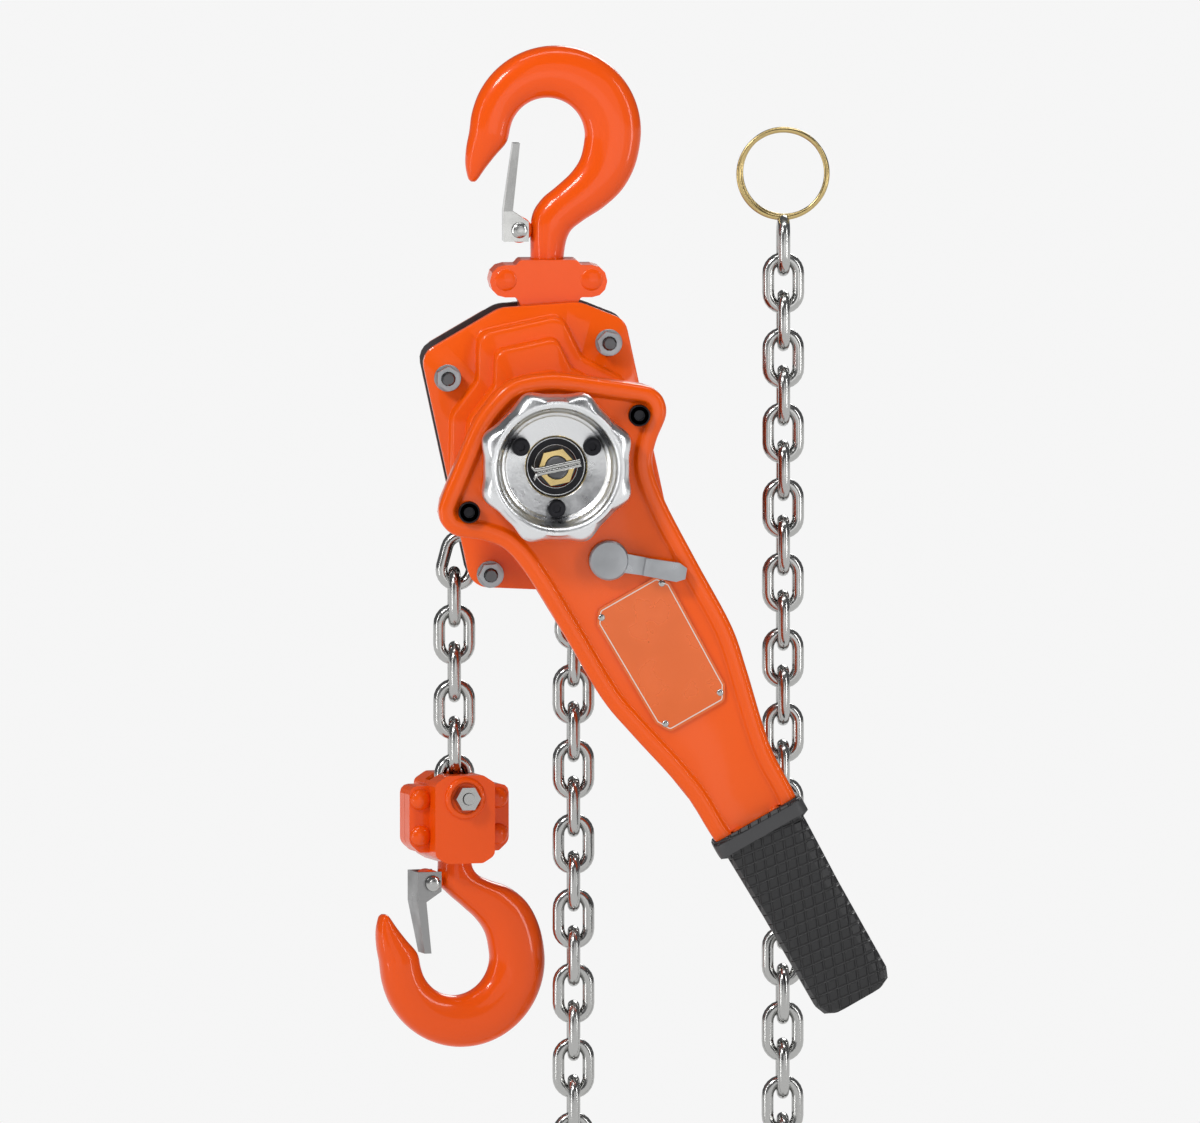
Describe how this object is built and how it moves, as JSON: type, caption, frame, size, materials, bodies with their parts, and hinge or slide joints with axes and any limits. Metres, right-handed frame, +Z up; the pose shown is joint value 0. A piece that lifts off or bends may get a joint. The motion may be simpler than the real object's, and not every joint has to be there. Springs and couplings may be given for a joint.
{
  "type": "lever chain hoist",
  "caption": "Hand lever chain hoist with safety-latch hooks, ratchet lever, hand wheel, pressed covers, load chain and a slack chain ending in a ring.",
  "frame": {"origin": "saddle of the top hook's bowl, where the hoist hangs", "axes": "+Z up along the load line, +X to the right seen from the hand wheel side, +Y from the hand wheel to the gear case"},
  "size_m": [0.2417, 0.148, 0.8573],
  "materials": {
    "hook_paint": "gloss",
    "body_paint": "gloss",
    "cast_aluminium": "satin",
    "bright_zinc": "bright zinc plate",
    "dark_steel": "oiled",
    "black_oxide": "black oxide",
    "rubber": "matt",
    "yellow_zinc": "yellow zinc plate",
    "brake_lining": "matt",
    "label": "printed foil"
  },
  "bodies": {
    "top_hook": {"top_hook": "hook_paint", "top_latch_pin": "bright_zinc"},
    "top_latch": {"top_latch": "bright_zinc"},
    "top_yoke": {"top_yoke_front": "hook_paint", "top_yoke_rear": "hook_paint"},
    "frame": {"suspension_pin": "dark_steel", "front_side_plate": "body_paint", "rear_side_plate": "body_paint", "brake_cover": "body_paint", "gear_case": "body_paint", "stay_bolt_1": "bright_zinc", "stay_bolt_2": "bright_zinc", "stay_bolt_3": "bright_zinc", "stay_bolt_4": "bright_zinc", "stay_nut_1": "bright_zinc", "stay_nut_2": "bright_zinc", "stay_nut_3": "bright_zinc", "stay_nut_4": "bright_zinc", "chain_guide": "dark_steel", "slack_chain": "bright_zinc", "end_ring": "yellow_zinc"},
    "load_sheave": {"load_sheave": "dark_steel", "load_gear": "dark_steel"},
    "drive": {"drive_shaft": "dark_steel", "brake_seat": "dark_steel", "pressure_hub": "dark_steel", "friction_disc_inner": "brake_lining", "friction_disc_outer": "brake_lining", "change_gear": "dark_steel", "hand_wheel": "cast_aluminium", "castle_nut": "yellow_zinc", "wheel_screw_1": "black_oxide", "wheel_screw_2": "black_oxide", "wheel_screw_3": "black_oxide"},
    "ratchet_disc": {"ratchet_disc": "dark_steel"},
    "disc_gear_1": {"disc_gear_1": "dark_steel"},
    "disc_gear_2": {"disc_gear_2": "dark_steel"},
    "brake_pawl_1": {"brake_pawl_1": "dark_steel"},
    "brake_pawl_2": {"brake_pawl_2": "dark_steel"},
    "lever": {"lever_front_shell": "body_paint", "lever_rear_shell": "body_paint", "lever_grip": "rubber", "lever_screw_1": "black_oxide", "lever_screw_2": "black_oxide", "nameplate": "label"},
    "selector": {"selector_lever": "bright_zinc", "selector_pawl": "dark_steel"},
    "load_chain": {"chain_link_1": "bright_zinc", "chain_link_2": "bright_zinc", "chain_link_3": "bright_zinc", "chain_link_4": "bright_zinc", "chain_link_5": "bright_zinc", "chain_link_6": "bright_zinc"},
    "bottom_block": {"bottom_block_front": "hook_paint", "bottom_block_rear": "hook_paint", "chain_pin": "bright_zinc", "chain_pin_nut": "bright_zinc"},
    "bottom_hook": {"bottom_hook": "hook_paint", "bottom_latch_pin": "bright_zinc"},
    "bottom_latch": {"bottom_latch": "bright_zinc"}
  },
  "joints": [
    {"name": "top_hook_swivel", "type": "hinge", "parent": "top_hook", "child": "top_yoke", "pos_m": [0, 0, -0.09], "axis": [0, 0, 1], "continuous": true},
    {"name": "frame_swing", "type": "hinge", "parent": "top_yoke", "child": "frame", "pos_m": [0, 0, -0.108], "axis": [0, 1, 0], "range_deg": [-25, 25]},
    {"name": "top_latch_open", "type": "hinge", "parent": "top_hook", "child": "top_latch", "pos_m": [-0.0136, 0, -0.063], "axis": [0, 1, 0], "range_deg": [0, 35], "stiffness_Nm_per_rad": 0.1, "springref_deg": -17.19},
    {"name": "load_sheave_spin", "type": "hinge", "parent": "frame", "child": "load_sheave", "pos_m": [0, 0, -0.1715], "axis": [0, 1, 0], "range_deg": [0, 144.05]},
    {"name": "hook_travel", "type": "slide", "parent": "frame", "child": "load_chain", "axis": [0, 0, 1], "range_m": [0, 0.072]},
    {"name": "disc_gear_1_spin", "type": "hinge", "parent": "frame", "child": "disc_gear_1", "pos_m": [-0.00581, 0, -0.14462], "axis": [0, 1, 0], "range_deg": [-384.1, 0]},
    {"name": "disc_gear_2_spin", "type": "hinge", "parent": "frame", "child": "disc_gear_2", "pos_m": [0.00581, 0, -0.19838], "axis": [0, 1, 0], "range_deg": [-384.1, 0]},
    {"name": "drive_spin", "type": "hinge", "parent": "frame", "child": "drive", "pos_m": [0, 0, -0.1715], "axis": [0, 1, 0], "range_deg": [0, 1024.3]},
    {"name": "ratchet_turn", "type": "hinge", "parent": "frame", "child": "ratchet_disc", "pos_m": [0, 0, -0.1715], "axis": [0, 1, 0], "range_deg": [-1, 6]},
    {"name": "brake_pawl_1_lift", "type": "hinge", "parent": "frame", "child": "brake_pawl_1", "pos_m": [0.03062, 0, -0.18534], "axis": [0, 1, 0], "range_deg": [0, 8], "stiffness_Nm_per_rad": 0.02, "springref_deg": -17.19},
    {"name": "brake_pawl_2_lift", "type": "hinge", "parent": "frame", "child": "brake_pawl_2", "pos_m": [-0.03062, 0, -0.15766], "axis": [0, 1, 0], "range_deg": [0, 8], "stiffness_Nm_per_rad": 0.02, "springref_deg": -17.19},
    {"name": "lever_swing", "type": "hinge", "parent": "frame", "child": "lever", "pos_m": [0, 0, -0.1715], "axis": [0, 1, 0], "continuous": true},
    {"name": "selector_turn", "type": "hinge", "parent": "lever", "child": "selector", "pos_m": [0.02561, 0, -0.21676], "axis": [0, 1, 0], "range_deg": [-21, 21]},
    {"name": "bottom_block_swing", "type": "hinge", "parent": "load_chain", "child": "bottom_block", "pos_m": [-0.0446, 0, -0.3346], "axis": [-0.2588, 0.9659, 0], "range_deg": [-8, 8]},
    {"name": "bottom_hook_swivel", "type": "hinge", "parent": "bottom_block", "child": "bottom_hook", "pos_m": [-0.0446, 0, -0.36], "axis": [0, 0, 1], "continuous": true},
    {"name": "bottom_latch_open", "type": "hinge", "parent": "bottom_hook", "child": "bottom_latch", "pos_m": [-0.05754, -0.00347, -0.376], "axis": [-0.2588, 0.9659, 0], "range_deg": [-35, 0], "stiffness_Nm_per_rad": 0.1, "springref_deg": 17.19}
  ],
  "couplings": [
    {"joint": "load_sheave_spin", "follows": "hook_travel", "rad_per_m": 34.907},
    {"joint": "disc_gear_1_spin", "follows": "hook_travel", "rad_per_m": -93.084},
    {"joint": "disc_gear_2_spin", "follows": "hook_travel", "rad_per_m": -93.084},
    {"joint": "drive_spin", "follows": "hook_travel", "rad_per_m": 248.22}
  ]
}
